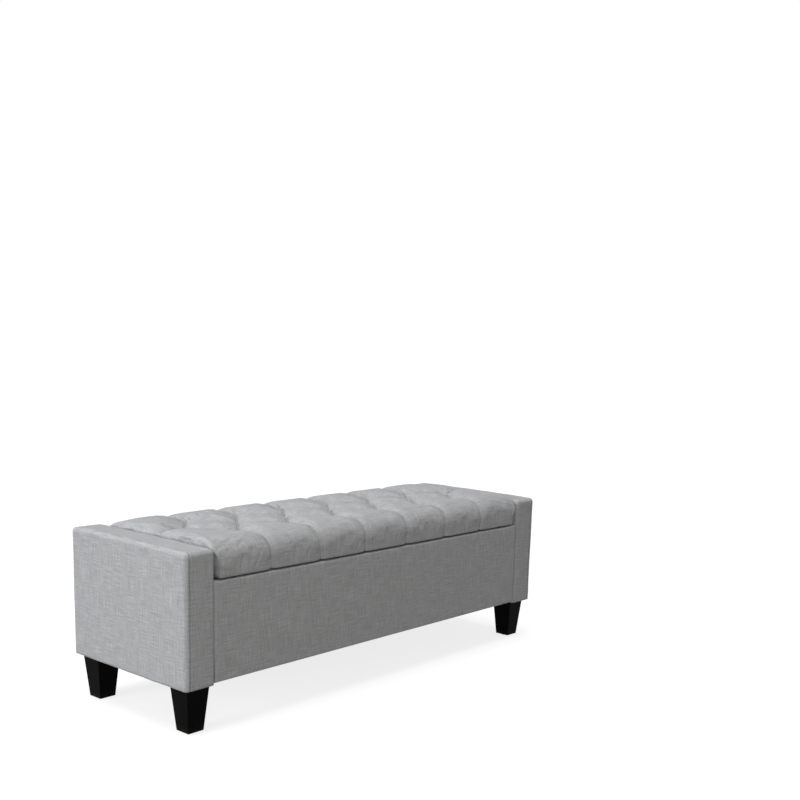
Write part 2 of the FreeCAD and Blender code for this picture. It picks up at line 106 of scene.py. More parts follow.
def soft_noise(p, scale, seed):
    """Smooth waves in about -1..1 over points p (n, 3), made of a few sines with fixed phases."""
    rng = np.random.default_rng(seed)
    total = np.zeros(len(p))
    for _ in range(7):
        direction = rng.normal(size=3)
        direction *= rng.uniform(0.5, 1.6) / np.linalg.norm(direction) * 2 * math.pi / scale
        total += np.sin(p @ direction + rng.uniform(0, 2 * math.pi))
    return total / 3.5


CORNER_CUT = 2.7 * MM  # upright corners that are tighter than the top edges are eased by this


def arc_gain(radius):
    """How much more cloth a rounded edge takes than the flat run to its face."""
    return radius * (math.pi / 2 - 1)


class Wrap:
    """Cloth wrapped over a box: a grid over the top, then rings down the four sides and in under the bottom.

    xs and ys are the grid's lines as arc lengths of cloth from the middle. A vertex keeps its place on the
    flat cloth in s and t, so creases can be drawn on the flat cloth and run on over the edges.
    """

    def __init__(self, low, high, radii, xs, ys, side_rings):
        self.low, self.high = low, high
        self.radii = radii
        self.middle = Vector(((low.x + high.x) / 2, (low.y + high.y) / 2, 0))
        self.half = ((high.x - low.x) / 2, (high.y - low.y) / 2)
        self.nx, self.ny = len(xs) - 1, len(ys) - 1
        self.reach = tuple(half + arc_gain(r) for half, r in zip(self.half, radii))
        self.side = side_rings[-1]
        s, t = np.meshgrid(xs, ys, indexing="ij")
        self.s, self.t = list(s.ravel()), list(t.ravel())
        self.rings = [self.border()]
        for down in side_rings:
            self.add_ring(down)
        self.s, self.t = np.array(self.s), np.array(self.t)

    def index(self, i, j):
        return i * (self.ny + 1) + j

    def border(self):
        """Vertex numbers round the top grid: front edge, right, back, left."""
        nx, ny = self.nx, self.ny
        ring = [self.index(i, 0) for i in range(nx)]
        ring += [self.index(nx, j) for j in range(ny)]
        ring += [self.index(i, ny) for i in range(nx, 0, -1)]
        ring += [self.index(0, j) for j in range(ny, 0, -1)]
        return ring

    def add_ring(self, down):
        """One more ring of vertices, `down` metres of cloth below the top grid's border."""
        ring = []
        for v in self.rings[0]:
            s, t = self.s[v], self.t[v]
            on_x = abs(abs(s) - self.reach[0]) < 1e-6
            on_y = abs(abs(t) - self.reach[1]) < 1e-6
            ring.append(len(self.s))
            self.s.append(s + math.copysign(down, s) if on_x else s)
            self.t.append(t + math.copysign(down, t) if on_y else t)
        self.rings.append(ring)

    def faces(self, flip_diagonal=None):
        """Faces and their UVs. flip_diagonal(s, t) says which way a cell of the top is cut in two."""
        faces, uvs = [], []

        def add(face, side=None):
            faces.append(face)
            for v in face:
                uvs.append(self.cloth_uv(v, side))

        for i in range(self.nx):
            for j in range(self.ny):
                a, b = self.index(i, j), self.index(i + 1, j)
                c, d = self.index(i + 1, j + 1), self.index(i, j + 1)
                if flip_diagonal is None:
                    add((a, b, c, d))
                elif flip_diagonal((self.s[a] + self.s[c]) / 2, (self.t[a] + self.t[c]) / 2):
                    add((a, b, d))
                    add((b, c, d))
                else:
                    add((a, b, c))
                    add((a, c, d))
        count = len(self.rings[0])
        for upper, lower in zip(self.rings, self.rings[1:]):
            for k in range(count):
                n = (k + 1) % count
                on_front = k < self.nx
                on_back = self.nx + self.ny <= k < 2 * self.nx + self.ny
                side = "front_back" if on_front or on_back else "ends"
                add((upper[n], upper[k], lower[k], lower[n]), side)
        return faces, uvs

    def cloth_uv(self, v, side):
        """Where a vertex lies on the flat cloth. Past the corners each side keeps its own piece of cloth."""
        s, t = self.s[v], self.t[v]
        if side == "front_back":
            s = max(-self.reach[0], min(self.reach[0], s))
        if side == "ends":
            t = max(-self.reach[1], min(self.reach[1], t))
        return s, t

    def place(self):
        """Rest position and outward normal of every vertex on the rounded box."""
        (rx, ry), (hx, hy) = self.radii, self.half
        over_s = np.abs(self.s) - (hx - rx)
        over_t = np.abs(self.t) - (hy - ry)
        turn_s = np.clip(over_s / rx, 0, math.pi / 2)
        turn_t = np.clip(over_t / ry, 0, math.pi / 2)
        facing_up = np.cos(turn_s) * np.cos(turn_t)
        a, b = np.sin(turn_s), np.sin(turn_t)
        cut_corner = CORNER_CUT * (a * b) ** 6
        if rx == ry:  # the upright corners are as round as the top edges
            a, b = a * np.cos(turn_t / 2), b * np.cos(turn_s / 2)
            size = np.sqrt(a * a + b * b + facing_up * facing_up)
            a, b, facing_up = a / size, b / size, facing_up / size
            cut_corner = 0
        x = np.minimum(np.abs(self.s), hx - rx) + rx * a - cut_corner
        y = np.minimum(np.abs(self.t), hy - ry) + ry * b - cut_corner
        share_s, share_t = 1 - np.cos(turn_s), 1 - np.cos(turn_t)
        radius = (rx * share_s + ry * share_t) / np.maximum(share_s + share_t, 1e-9)
        z = self.high.z - radius * (1 - facing_up)
        down = np.maximum(over_s - rx * math.pi / 2, over_t - ry * math.pi / 2)
        down = np.where(down > 1e-7, down, 0)
        z -= down / self.side * (z - self.low.z)
        normal = np.stack([a * np.sign(self.s), b * np.sign(self.t), facing_up], 1)
        normal /= np.linalg.norm(normal, axis=1)[:, None]
        points = np.stack([x * np.sign(self.s), y * np.sign(self.t), z], 1)
        points[:, 0] += self.middle.x
        points[:, 1] += self.middle.y
        return points, normal, down


def spaced(start, stop, step):
    count = max(1, round(abs(stop - start) / step))
    return list(np.linspace(start, stop, count + 1))


def tube_faces(first, around, rings):
    """Quads between rings of `around` vertices each, of which the first starts at vertex `first`."""
    faces = []
    for k in range(rings - 1):
        for i in range(around):
            j = (i + 1) % around
            a, b = first + k * around + i, first + k * around + j
            faces.append((a, b, b + around, a + around))
    return faces


def turned_under(wrap, points, z, hem, lift):
    """Points for three more rings: cloth turned in under the bottom edge, then up to what it covers."""
    last = wrap.rings[-1]
    rings = []
    for inset, height in ((2 * MM, z), (hem, z), (hem + 1 * MM, z + lift)):
        ring = []
        for v in last:
            x, y, _ = points[v]
            cx, cy = wrap.middle.x, wrap.middle.y
            hx, hy = wrap.half
            ring.append(
                (cx + (x - cx) * (hx - inset) / hx, cy + (y - cy) * (hy - inset) / hy, height)
            )
        rings.append(ring)
    return rings


def add_hem(wrap, points, faces, uvs, z, hem, lift):
    """Adds the turned-under hem to a wrap's points, faces and uvs."""
    points = [tuple(p) for p in points]
    upper = wrap.rings[-1]
    for ring in turned_under(wrap, points, z, hem, lift):
        lower = [len(points) + k for k in range(len(ring))]
        points += ring
        for k in range(len(ring)):
            n = (k + 1) % len(ring)
            face = (upper[n], upper[k], lower[k], lower[n])
            faces.append(face)
            uvs += [(points[v][0], points[v][1]) for v in face]
        upper = lower
    return points, faces, uvs


# ================================================================ the tufted lid
TUFT_CELLS = 30  # grid cells between neighbouring buttons, along and across
CREASE_MID, CREASE_EDGE, CREASE_FACE, CREASE_FOOT = 8 * MM, 8 * MM, 7 * MM, 5 * MM
PIT_FLOOR, PIT_REACH = 12 * MM, 36 * MM  # flat under the button, then up to the puffs
DIAGONAL_WIDTH, RUN_WIDTH = 50 * MM, 30 * MM
FOLD_DEEP, FOLD_WIDE = 3.5 * MM, 3.6 * MM  # the sharp fold in the bottom of each crease
LID_ROUND = (12 * MM, 54 * MM)  # end edges, long edges
END_DEPTH = 5 * MM  # creases stay this shallow on the tight end edges
END_SAG, END_SAG_REACH = 3 * MM, 80 * MM  # the end puffs fall away towards the end panels
BACK_SAG = 7 * MM  # the pad is this much thinner along its back edge
LID_TUCK, LONG_TUCK = 11 * MM, 2.5 * MM  # ends and long faces slope in by this much towards the bottom
LID_HEM, HEM_LIFT = 40 * MM, 1.2 * MM  # cloth turned in under the lid, and then up to the board
PUFF_CAP = 6 * MM  # the simulation may move the cloth by this much


def button_places():
    """(s, t) of the buttons on the flat cloth, from the middle of the lid."""
    rows = []
    for row in (-1, 0, 1):
        count = 7 if row == 0 else 6
        rows += [((i - (count - 1) / 2) * 2 * HALF_PUFF, row) for i in range(count)]
    return rows


def lid_creases(row_t, reach_t, reach_s):
    """Creases on the flat cloth: (from, to, kind). Diagonals between rows, then runs out to the edges."""
    creases = []
    for s, row in button_places():
        t = row_t[row]
        if row == 0:
            for ds in (-HALF_PUFF, HALF_PUFF):
                for other in (-1, 1):
                    if abs(s + ds) < 5.5 * HALF_PUFF:
                        creases.append(((s, t), (s + ds, row_t[other]), "diagonal"))
            if abs(s) > 5.5 * HALF_PUFF:
                creases.append(((s, t), (math.copysign(reach_s, s), t), "run"))
        else:
            creases.append(((s, t), (s, row * reach_t), "run"))
    return creases


def tuft_depth(s, t, creases, pits, edge_start):
    """How far the cloth is drawn in at each flat point, and how near it is to a crease."""
    power = 9
    total = np.zeros(len(s))
    nearest = np.full(len(s), 1.0)
    for (s0, t0), (s1, t1), kind in creases:
        ds, dt = s1 - s0, t1 - t0
        length = math.hypot(ds, dt)
        along = np.clip(((s - s0) * ds + (t - t0) * dt) / length**2, 0, 1)
        away = np.hypot(s - (s0 + along * ds), t - (t0 + along * dt))
        run = along * length
        if kind == "diagonal":
            from_pit = np.minimum(run, length - run)
            level, width = CREASE_MID, DIAGONAL_WIDTH
        else:
            from_pit = run
            past = run - edge_start[0 if abs(ds) > abs(dt) else 1]
            level = CREASE_EDGE + (CREASE_FACE - CREASE_EDGE) * ease(past / (30 * MM))
            level += (CREASE_FOOT - CREASE_FACE) * ease((past - 50 * MM) / (40 * MM))
            width = RUN_WIDTH
        near_pit = np.exp(-((from_pit / (26 * MM)) ** 1.6))
        depth = level + (0.72 * PIT_DEPTH - level) * near_pit
        width = width + (DIAGONAL_WIDTH - width) * near_pit
        q = np.clip(away / width, 0, 1)
        fold = FOLD_DEEP * np.exp(-((away / FOLD_WIDE) ** 2)) * (depth > 2 * MM)
        total += (depth * (1 - q**0.75) ** 1.9 + fold) ** power
        nearest = np.minimum(nearest, away)
    for s0, t0 in pits:
        q = np.clip((np.hypot(s - s0, t - t0) - PIT_FLOOR) / PIT_REACH, 0, 1)
        total += (0.98 * PIT_DEPTH * (1 - q**0.8) ** 1.8) ** power
    return total ** (1 / power), nearest


def pad_sag(x, y):
    """How far the top of the pad sinks: along its back edge, and at its ends, most at the back."""
    back = (y - LID_LOW.y) / (LID_HIGH.y - LID_LOW.y)
    from_end = np.clip(1 - (LID_X - np.abs(x)) / END_SAG_REACH, 0, 1)
    return END_SAG * from_end**2 * (0.5 + back) + BACK_SAG * back**2


def gathers(s, t, places):
    """Small folds that fan out from each button."""
    total = np.zeros(len(s))
    rng = np.random.default_rng(11)
    for s0, t0 in places:
        r = np.hypot(s - s0, t - t0)
        angle = np.arctan2(t - t0, s - s0)
        wave = np.zeros(len(s))
        for folds in (7, 11, 16):
            wave += np.sin(folds * angle + rng.uniform(0, 6.28) + 14 * r * rng.uniform(-1, 1))
        total += 0.9 * MM * wave * ease((r - 10 * MM) / (8 * MM)) * np.exp(-r / (20 * MM))
    return total


def make_lid():
    """The tufted lid pad: creases drawn into a wrapped box, puffed out by a cloth simulation."""
    low, high = Vector(LID_LOW), Vector(LID_HIGH)
    half_y = (high.y - low.y) / 2
    reach_s, reach_t = LID_X + arc_gain(LID_ROUND[0]), half_y + arc_gain(LID_ROUND[1])
    offset = LID_MID_Y - (low.y + high.y) / 2
    row_t = {-1: offset - ROW, 0: offset, 1: offset + ROW}
    last_s = 6 * HALF_PUFF
    step_s, step_t = HALF_PUFF / TUFT_CELLS, ROW / TUFT_CELLS
    xs = spaced(-reach_s, -last_s, step_s)[:-1] + spaced(-last_s, last_s, step_s)
    xs += spaced(last_s, reach_s, step_s)[1:]
    ys = spaced(-reach_t, row_t[-1], step_t)[:-1] + spaced(row_t[-1], row_t[1], step_t)
    ys += spaced(row_t[1], reach_t, step_t)[1:]
    side = high.z - LID_ROUND[1] - low.z
    wrap = Wrap(low, high, LID_ROUND, xs, ys, spaced(0, side, 4 * MM)[1:])

    def diagonal_falls(s, t):
        """Each block of cells between neighbouring buttons is cut along its own crease."""
        block_s, block_t = math.floor(s / HALF_PUFF), math.floor((t - offset) / ROW)
        return (block_s + block_t) % 2 == 1

    faces, uvs = wrap.faces(diagonal_falls)
    points, normals, down = wrap.place()
    creases = lid_creases(row_t, reach_t + side, reach_s + side)
    runs = (reach_s - last_s - LID_ROUND[0], reach_t - ROW - LID_ROUND[1])
    buttons = [(s, row_t[row]) for s, row in button_places()]
    depth, nearest = tuft_depth(wrap.s, wrap.t, creases, buttons, runs)
    depth += gathers(wrap.s, wrap.t, buttons)
    shallow = PIT_DEPTH + (END_DEPTH - PIT_DEPTH) * ease(np.abs(normals[:, 0]) / 0.3)
    depth = np.minimum(depth, shallow)
    points -= normals * depth[:, None]
    above_board = np.clip((points[:, 2] - low.z) / (high.z - low.z), 0, 1)
    points[:, 2] -= pad_sag(points[:, 0], points[:, 1]) * above_board

    # the ends lean in towards the bottom board, the long faces a little
    fall = np.clip((high.z - LID_ROUND[0] - points[:, 2]) / (high.z - LID_ROUND[0] - low.z), 0, 1)
    points[:, 0] *= 1 - LID_TUCK / LID_X * fall**1.2
    points[:, 1] -= (points[:, 1] - wrap.middle.y) / half_y * LONG_TUCK * fall**2
    clear_of_board(points, normals, down)

    points, faces, uvs = add_hem(wrap, points, faces, uvs, low.z, LID_HEM, HEM_LIFT)
    lid = mesh_object("lid_pad", points, faces, uvs)

    to_button = np.min([np.hypot(wrap.s - s, wrap.t - t) for s, t in buttons], axis=0)
    pinned = np.ones(len(lid.data.vertices))  # the hem is held all over
    pinned[: len(wrap.s)] = (nearest < 1.2 * MM) | (to_button < PIT_FLOOR) | (down > side - 9 * MM)
    puff_out(lid, pinned)
    keep_in(lid, low, high)
    return lid


def clear_of_board(points, normals, down):
    """Keeps the cloth's sides outside the lid board."""
    board_low, board_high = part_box("lid_board")
    beside = (down > 0) & (points[:, 2] < board_high.z + 3 * MM)
    for axis in range(2):
        place, facing = points[:, axis], normals[:, axis]
        low, high = board_low[axis] - 1.2 * MM, board_high[axis] + 1.2 * MM
        place = np.where(beside & (facing < -0.8), np.minimum(place, low), place)
        points[:, axis] = np.where(beside & (facing > 0.8), np.maximum(place, high), place)


def puff_out(obj, pinned, frames=14):
    """Cloth simulation with air pressure inside: slack cloth swells and wrinkles between what holds it."""
    before = points_of(obj)
    group = obj.vertex_groups.new(name="held")
    group.add([int(i) for i in np.nonzero(pinned > 0.5)[0]], 1.0, "REPLACE")
    modifier = obj.modifiers.new("cloth", "CLOTH")
    cloth = modifier.settings
    cloth.quality = 5
    cloth.mass = 0.3
    cloth.tension_stiffness = cloth.compression_stiffness = 25
    cloth.shear_stiffness = 12
    cloth.bending_stiffness = 0.4
    cloth.use_pressure = True
    cloth.uniform_pressure_force = 5
    cloth.shrink_min = -0.02
    cloth.vertex_group_mass = "held"
    cloth.effector_weights.gravity = 0
    modifier.collision_settings.use_collision = False
    modifier.collision_settings.use_self_collision = False
    scene = bpy.context.scene
    modifier.point_cache.frame_start, modifier.point_cache.frame_end = 1, frames
    for number in range(1, frames + 1):
        scene.frame_set(number)
    swollen = obj.evaluated_get(bpy.context.evaluated_depsgraph_get())
    after = np.zeros(len(swollen.data.vertices) * 3, np.float32)
    swollen.data.vertices.foreach_get("co", after)
    move = after.reshape(-1, 3) - before
    far = np.linalg.norm(move, axis=1)
    move *= np.minimum(1, PUFF_CAP / np.maximum(far, 1e-9))[:, None]
    print(f"{obj.name} swelled by up to {far.max() / MM:.1f} mm, mean {far.mean() / MM:.2f}")
    obj.modifiers.remove(modifier)
    obj.vertex_groups.remove(group)
    scene.frame_set(1)
    set_points(obj, before + move)


def keep_in(obj, low, high):
    """Keeps the lid's cloth off the end panels and inside its space."""
    points = points_of(obj)
    below, above = (2.5 * MM, 4 * MM, 0), (2.5 * MM, 4 * MM, 3 * MM)
    for axis in range(3):
        points[:, axis] = np.clip(points[:, axis], low[axis] - below[axis], high[axis] + above[axis])
    set_points(obj, points)


def make_buttons():
    """Covered buttons: a low dome with its cloth gathered under the rim."""
    radius, tall = 11 * MM, 5.5 * MM
    pit_share = 1 - PIT_DEPTH / (LID_HIGH.z - LID_LOW.z)
    around, up = 28, 8
    points, faces, uvs = [], [], []
    for s, row in button_places():
        y = LID_MID_Y + row * ROW
        centre = Vector((s, y, BUTTON_LOW.z + 0.6 * MM - pit_share * pad_sag(s, y)))
        first = len(points)
        for k in range(up):
            angle = math.pi / 2 * k / (up - 1)
            for i in range(around):
                turn = 2 * math.pi * i / around
                pucker = 1 + 0.025 * math.cos(9 * turn + s * 50) * (1 - k / (up - 1))
                r = radius * math.cos(angle) ** 0.7 * pucker
                on_dome = Vector((r * math.cos(turn), r * math.sin(turn), tall * math.sin(angle)))
                points.append(centre + on_dome)
        faces += tube_faces(first, around, up)
        for face in faces[len(uvs) // 4:]:
            uvs += [(points[v].x, points[v].y) for v in face]
    return mesh_object("covered_buttons", points, faces, uvs)


# ================================================================ end panels
END_SEAM = 13 * MM  # the seam runs this far in from the outer face
END_ROUND = 10 * MM
END_HEM, END_HEM_LIFT = 30 * MM, 1.3 * MM
SEAM_DEEP, SEAM_WIDE = 2.6 * MM, 1.5 * MM


def make_end(side, low, high):
    """A boxed end panel: a side piece and a boxing strip sewn together near the outer edge."""
    width, depth = high.x - low.x, high.y - low.y
    reach_s, reach_t = width / 2 + arc_gain(END_ROUND), depth / 2 + arc_gain(END_ROUND)
    outer = -1 if side == "left" else 1
    seam_s = outer * (width / 2 - END_SEAM)
    fine = spaced(seam_s - 4 * MM, seam_s + 4 * MM, 0.7 * MM)
    xs = spaced(-reach_s, fine[0], 3 * MM)[:-1] + fine + spaced(fine[-1], reach_s, 3 * MM)[1:]
    corner = (math.pi / 2) * END_ROUND
    ys = spaced(-reach_t, -reach_t + corner, 1.5 * MM)[:-1]
    ys += spaced(-reach_t + corner, reach_t - corner, 5 * MM)
    ys += spaced(reach_t - corner, reach_t, 1.5 * MM)[1:]
    tall = high.z - END_ROUND - low.z
    wrap = Wrap(low, high, (END_ROUND, END_ROUND), xs, ys, spaced(0, tall, 5 * MM)[1:])
    faces, uvs = wrap.faces()
    points, normals, down = wrap.place()

    seam = np.abs(points[:, 0] - (wrap.middle.x + seam_s))
    on_strip = np.abs(normals[:, 0]) < 0.6
    groove = SEAM_DEEP * np.exp(-((seam / SEAM_WIDE) ** 2)) * on_strip
    swell = 0.7 * MM * np.exp(-(((seam - 4 * MM) / (3 * MM)) ** 2)) * on_strip
    y_share = (points[:, 1] - wrap.middle.y) / (depth / 2)
    z_share = (points[:, 2] - low.z) / (high.z - low.z)
    up_face = np.clip(4 * z_share * (1.02 - z_share), 0, 1)
    crown = 2.2 * MM * (1 - y_share**4) * up_face * np.abs(normals[:, 0])
    crown += 2.0 * MM * np.clip(normals[:, 2], 0, 1) * (1 - y_share**6)
    inner = normals[:, 0] * outer < -0.5
    crown = np.where(inner, 0, crown)
    sway = 0.35 * MM * soft_noise(points, 90 * MM, 3) + 0.2 * MM * soft_noise(points, 35 * MM, 4)
    sway = np.where(inner, -np.abs(sway) * 0.3, sway)
    low_edge = ease(down / tall * 12 - 11) * 0.4 * MM
    points += normals * (crown + sway + swell - groove - low_edge)[:, None]

    points, faces, uvs = add_hem(wrap, points, faces, uvs, low.z, END_HEM, END_HEM_LIFT)
    pad = mesh_object(f"{side}_end_pad", points, faces, uvs)
    stitches = seam_stitches(side, wrap, seam_s, outer)
    return pad, stitches


def seam_stitches(side, wrap, seam_s, outer):
    """A row of stitches along the seam, up the front, over the top and down the back."""
    x = wrap.middle.x + seam_s - outer * 0.4 * MM
    r, low, high = END_ROUND, wrap.low, wrap.high
    proud = -0.4 * MM  # sunk a little in the seam's groove
    reach = r + proud
    path = []
    straight = high.z - r - low.z - 4 * MM
    for k in np.linspace(0, 1, 120):
        path.append(Vector((x, low.y - proud * 0.5, low.z + 4 * MM + straight * k)))
    for k in np.linspace(0, math.pi / 2, 12)[1:]:
        path.append(Vector((x, low.y + r - reach * math.cos(k), high.z - r + reach * math.sin(k))))
    for k in np.linspace(0, 1, 160)[1:]:
        y = low.y + r + (high.y - low.y - 2 * r) * k
        crown = 2.0 * MM * (1 - abs((y - wrap.middle.y) / wrap.half[1]) ** 6)
        path.append(Vector((x, y, high.z + proud + crown)))
    for k in np.linspace(0, math.pi / 2, 12)[1:]:
        path.append(Vector((x, high.y - r + reach * math.sin(k), high.z - r + reach * math.cos(k))))
    for k in np.linspace(0, 1, 120)[1:]:
        path.append(Vector((x, high.y + proud * 0.5, high.z - r - straight * k)))
    return stitch_row(f"{side}_end_stitches", path, across=Vector((1, 0, 0)))


def stitch_row(name, path, across, length=3.4 * MM, gap=1.5 * MM, thick=0.45 * MM):
    """Short thread stitches laid end to end along a path, each a little bowed."""
    spots = [0.0]
    for a, b in zip(path, path[1:]):
        spots.append(spots[-1] + (b - a).length)
    spots = np.array(spots)
    track = np.array([tuple(p) for p in path])
    around, rings = 6, 5
    points, faces, uvs = [], [], []
    start = 0.0
    while start + length < spots[-1]:
        at = start + length * np.linspace(0, 1, rings)
        middle = np.stack([np.interp(at, spots, track[:, k]) for k in range(3)], 1)
        forward = Vector(middle[-1] - middle[0]).normalized()
        up = across.cross(forward).normalized()
        first = len(points)
        for k in range(rings):
            swell = math.sin(math.pi * (0.12 + 0.76 * k / (rings - 1)))
            bow = (swell - 0.9) * thick * 1.4
            for i in range(around):
                turn = 2 * math.pi * i / around
                ring = across * math.cos(turn) + up * math.sin(turn)
                points.append(Vector(middle[k]) + ring * thick * swell + up * bow)
        stitch = tube_faces(first, around, rings)
        faces += stitch
        uvs += [(0, 0), (thick, 0), (thick, length), (0, length)] * len(stitch)
        start += length + gap
    return mesh_object(name, points, faces, uvs)


# ================================================================ front and back panels
def make_panel(name, low, high, outward):
    """Cloth wrapped over a panel: up the room side, over the top, down the face and in under the bottom."""
    r = 4.5 * MM
    face_y, room_y = (high.y, low.y) if outward > 0 else (low.y, high.y)
    lining_low, lining_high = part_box("storage_lining")
    floor_z, lining_z = lining_low.z - 3 * MM, lining_high.z
    profile = [(room_y, lining_z), (room_y, high.z - 1.5 * MM)]
    profile += [(room_y + outward * 1.5 * MM, high.z)]
    profile += [(y, high.z) for y in spaced(room_y + outward * 4 * MM, face_y - outward * r, 4 * MM)]
    for angle in np.linspace(0, math.pi / 2, 7)[1:]:
        profile.append((face_y - outward * r * (1 - math.sin(angle)), high.z - r * (1 - math.cos(angle))))
    profile += [(face_y, z) for z in spaced(high.z - r, low.z + r, 5 * MM)[1:]]
    for angle in np.linspace(0, math.pi / 2, 7)[1:]:
        profile.append((face_y - outward * r * (1 - math.cos(angle)), low.z + r * (1 - math.sin(angle))))
    profile += [(y, low.z) for y in spaced(face_y - outward * r, room_y, 6 * MM)[1:]]
    profile += [(room_y, floor_z)]
    lengths = [0.0]
    for (y0, z0), (y1, z1) in zip(profile, profile[1:]):
        lengths.append(lengths[-1] + math.hypot(y1 - y0, z1 - z0))
    hair = 0.1 * MM  # the closed ends stand this far off the boards' ends
    xs = spaced(low.x - hair, high.x + hair, 6 * MM)
    points = np.array([(x, y, z) for x in xs for y, z in profile])
    rows = len(profile)
    on_face = np.abs(points[:, 1] - face_y) < 0.5 * MM
    x_share = points[:, 0] / high.x
    z_share = (points[:, 2] - low.z) / (high.z - low.z)
    crown = 1.1 * MM * (1 - x_share**8) * np.clip(4 * z_share * (1 - z_share), 0, 1)
    sway = 0.3 * MM * soft_noise(points, 120 * MM, 8) + 0.16 * MM * soft_noise(points, 45 * MM, 9)
    points[:, 1] += np.where(on_face, outward * (crown + sway), 0)
    faces, uvs = [], []
    for i in range(len(xs) - 1):
        for k in range(rows - 1):
            a, b = i * rows + k, (i + 1) * rows + k
            face = (a, a + 1, b + 1, b) if outward < 0 else (a, b, b + 1, a + 1)
            faces.append(face)
            uvs += [(points[v][0], lengths[v % rows]) for v in face]
    last = (len(xs) - 1) * rows
    first_end, last_end = list(range(rows)), list(range(last, last + rows))
    for end in (first_end[::-1], last_end) if outward < 0 else (first_end, last_end[::-1]):
        faces.append(end)
        uvs += [(points[v][1], points[v][2]) for v in end]
    return mesh_object(name, points, faces, uvs)


# ================================================================ materials
class Shader:
    """A small helper round one material's node tree."""

    def __init__(self, name, roughness, metallic=0.0, specular=0.5):
        self.material = bpy.data.materials.new(name)
        self.material.use_nodes = True
        self.tree = self.material.node_tree
        self.bsdf = self.tree.nodes["Principled BSDF"]
        self.bsdf.inputs["Roughness"].default_value = roughness
        self.bsdf.inputs["Metallic"].default_value = metallic
        self.bsdf.inputs["Specular IOR Level"].default_value = specular

    def node(self, kind, **settings):
        made = self.tree.nodes.new(kind)
        for key, value in settings.items():
            setattr(made, key, value)
        return made

    def link(self, source, target):
        self.tree.links.new(source, target)

    def place(self, kind):
        """Texture coordinates: the cloth's own, or the object's, in metres."""
        if kind == "cloth":
            return self.node("ShaderNodeUVMap", uv_map="cloth").outputs["UV"]
        return self.node("ShaderNodeTexCoord").outputs["Object"]

    def scaled(self, vector, scale, turn=(0, 0, 0)):
        mapping = self.node("ShaderNodeMapping")
        mapping.inputs["Scale"].default_value = scale
        mapping.inputs["Rotation"].default_value = turn
        self.link(vector, mapping.inputs["Vector"])
        return mapping.outputs["Vector"]

    def noise(self, vector, scale, detail=2.0, rough=0.5):
        made = self.node("ShaderNodeTexNoise")
        made.inputs["Scale"].default_value = scale
        made.inputs["Detail"].default_value = detail
        made.inputs["Roughness"].default_value = rough
        self.link(vector, made.inputs["Vector"])
        return made.outputs["Fac"]

    def wave(self, vector, period, direction, wobble):
        made = self.node("ShaderNodeTexWave", wave_type="BANDS", bands_direction=direction)
        made.inputs["Scale"].default_value = 2 * math.pi / 20 / period
        made.inputs["Distortion"].default_value = wobble
        made.inputs["Detail"].default_value = 1.0
        made.inputs["Detail Scale"].default_value = 0.4
        self.link(vector, made.inputs["Vector"])
        return made.outputs["Fac"]

    def math(self, operation, a, b):
        made = self.node("ShaderNodeMath", operation=operation)
        for value, socket in ((a, made.inputs[0]), (b, made.inputs[1])):
            if isinstance(value, (int, float)):
                socket.default_value = value
            else:
                self.link(value, socket)
        return made.outputs[0]

    def ramp(self, value, stops):
        made = self.node("ShaderNodeValToRGB")
        elements = made.color_ramp.elements
        while len(elements) < len(stops):
            elements.new(0.5)
        for element, (position, colour) in zip(elements, stops):
            element.position = position
            element.color = (*colour, 1)
        self.link(value, made.inputs["Fac"])
        return made.outputs["Color"]

    def grey(self, value, low, high, start=0.3, end=0.7):
        """A value spread from low to high as its source goes from start to end."""
        made = self.node("ShaderNodeMapRange")
        for key, number in (("From Min", start), ("From Max", end), ("To Min", low), ("To Max", high)):
            made.inputs[key].default_value = number
        self.link(value, made.inputs["Value"])
        return made.outputs["Result"]

    def mix(self, factor, a, b, blend="MIX"):
        made = self.node("ShaderNodeMix", data_type="RGBA", blend_type=blend)
        for value, socket in ((factor, made.inputs[0]), (a, made.inputs[6]), (b, made.inputs[7])):
            if isinstance(value, (int, float)):
                socket.default_value = value
            elif isinstance(value, tuple):
                socket.default_value = (*value, 1)
            else:
                self.link(value, socket)
        return made.outputs[2]

    def colour(self, socket):
        self.link(socket, self.bsdf.inputs["Base Color"])

    def rough(self, socket):
        self.link(socket, self.bsdf.inputs["Roughness"])

    def bump(self, height, distance, strength=1.0):
        made = self.node("ShaderNodeBump")
        made.inputs["Distance"].default_value = distance
        made.inputs["Strength"].default_value = strength
        self.link(height, made.inputs["Height"])
        self.link(made.outputs["Normal"], self.bsdf.inputs["Normal"])


